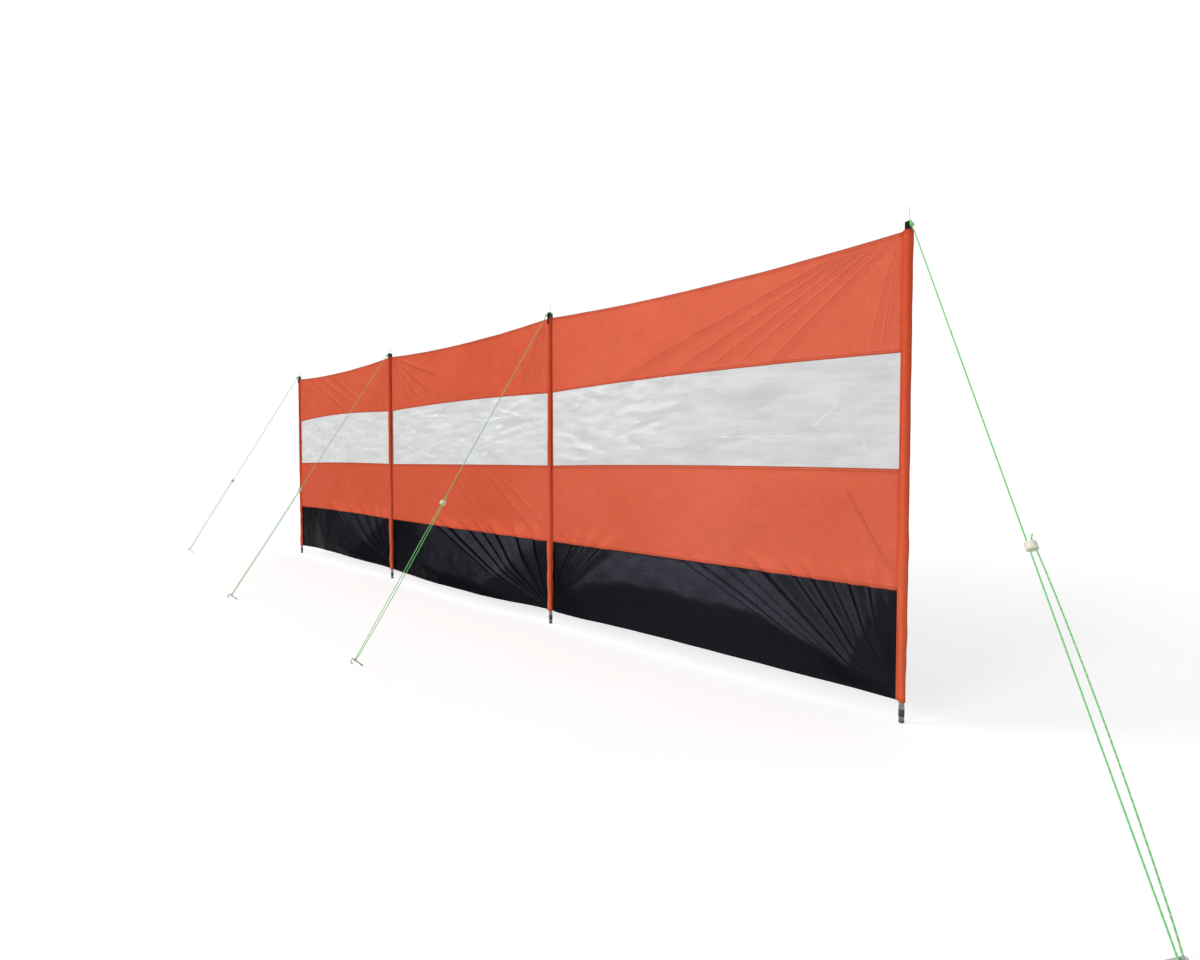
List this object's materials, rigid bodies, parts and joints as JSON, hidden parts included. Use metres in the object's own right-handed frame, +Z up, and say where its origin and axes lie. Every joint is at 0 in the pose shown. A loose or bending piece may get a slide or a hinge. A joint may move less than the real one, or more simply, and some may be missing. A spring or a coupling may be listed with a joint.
{
  "type": "windbreak",
  "caption": "Pitched cloth windbreak in bays: steel poles in sleeves, orange bands with clear windows over a dark skirt, and guys pegged out in front.",
  "frame": {"origin": "middle of the flat foot of the first pole, at ground level", "axes": "+X along the cloth from the first pole to the fourth, -Y the front, where the guys are, +Z up"},
  "size_m": [6.3416, 0.9958, 1.534],
  "materials": {
    "pole_steel": "galvanised, dull",
    "cap_plastic": "moulded, satin",
    "pin_steel": "bright",
    "strap_webbing": "woven webbing",
    "sleeve_cloth": "plain weave, sewn",
    "band_cloth": "coated plain weave, slight sheen",
    "skirt_cloth": "coated plain weave, soft gloss",
    "window_film": "clear plastic film, creased and milky",
    "guy_cord": "braided cord",
    "slider_plastic": "moulded",
    "peg_steel": "zinc plated"
  },
  "bodies": {
    "root": {"pole_1": "pole_steel", "pole_2": "pole_steel", "pole_3": "pole_steel", "pole_4": "pole_steel", "cap_1": "cap_plastic", "cap_2": "cap_plastic", "cap_3": "cap_plastic", "cap_4": "cap_plastic", "pin_1": "pin_steel", "pin_2": "pin_steel", "pin_3": "pin_steel", "pin_4": "pin_steel", "strap_1": "strap_webbing", "strap_2": "strap_webbing", "strap_3": "strap_webbing", "strap_4": "strap_webbing", "sleeve_1": "sleeve_cloth", "sleeve_2": "sleeve_cloth", "sleeve_3": "sleeve_cloth", "sleeve_4": "sleeve_cloth", "skirt_1": "skirt_cloth", "skirt_2": "skirt_cloth", "skirt_3": "skirt_cloth", "middle_band_1": "band_cloth", "middle_band_2": "band_cloth", "middle_band_3": "band_cloth", "window_1": "window_film", "window_2": "window_film", "window_3": "window_film", "top_band_1": "band_cloth", "top_band_2": "band_cloth", "top_band_3": "band_cloth", "guy_1": "guy_cord", "guy_2": "guy_cord", "guy_3": "guy_cord", "guy_4": "guy_cord", "slider_1": "slider_plastic", "slider_2": "slider_plastic", "slider_3": "slider_plastic", "slider_4": "slider_plastic", "peg_1": "peg_steel", "peg_2": "peg_steel", "peg_3": "peg_steel", "peg_4": "peg_steel"}
  },
  "joints": []
}
